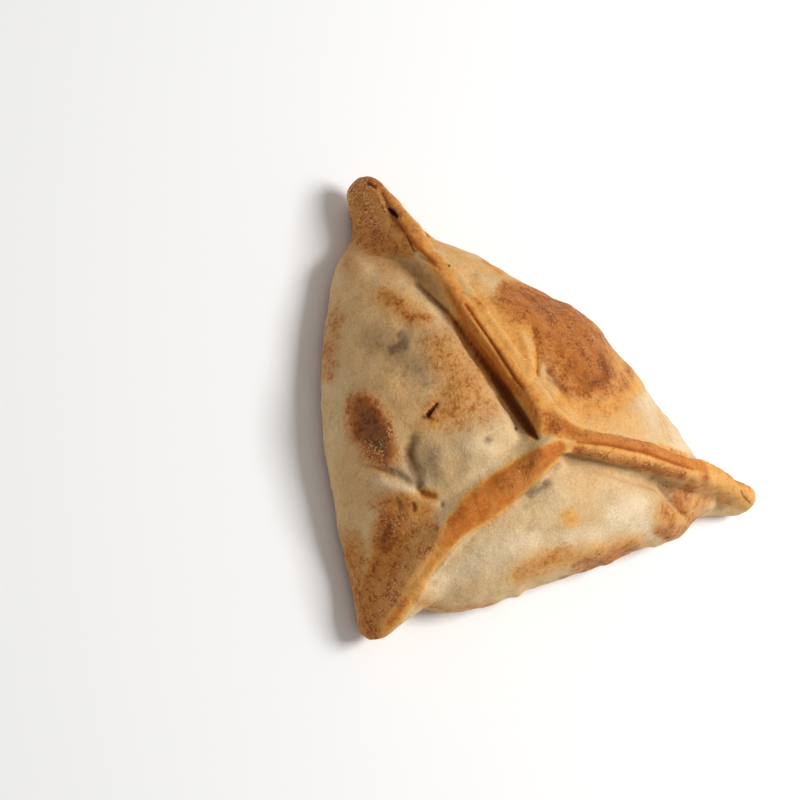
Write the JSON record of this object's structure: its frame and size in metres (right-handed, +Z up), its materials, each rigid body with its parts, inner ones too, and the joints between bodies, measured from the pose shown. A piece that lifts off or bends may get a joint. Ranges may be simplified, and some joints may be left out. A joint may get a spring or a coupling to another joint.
{
  "type": "fatayer",
  "caption": "Triangular filled pastry of baked dough, with three pinched double seams that meet on top and puffed panels between them; it lies on its flat underside.",
  "frame": {"origin": "middle of the box round the pastry, on the surface that it lies on", "axes": "+Z up, out of the underside; +Y towards the tip of the longest seam; -Y is the side of the smallest panel"},
  "size_m": [0.1086, 0.1014, 0.0365],
  "materials": {
    "crust": "dull baked dough, pale between the seams and browned along them"
  },
  "bodies": {
    "root": {"fatayer": "crust"}
  },
  "joints": []
}
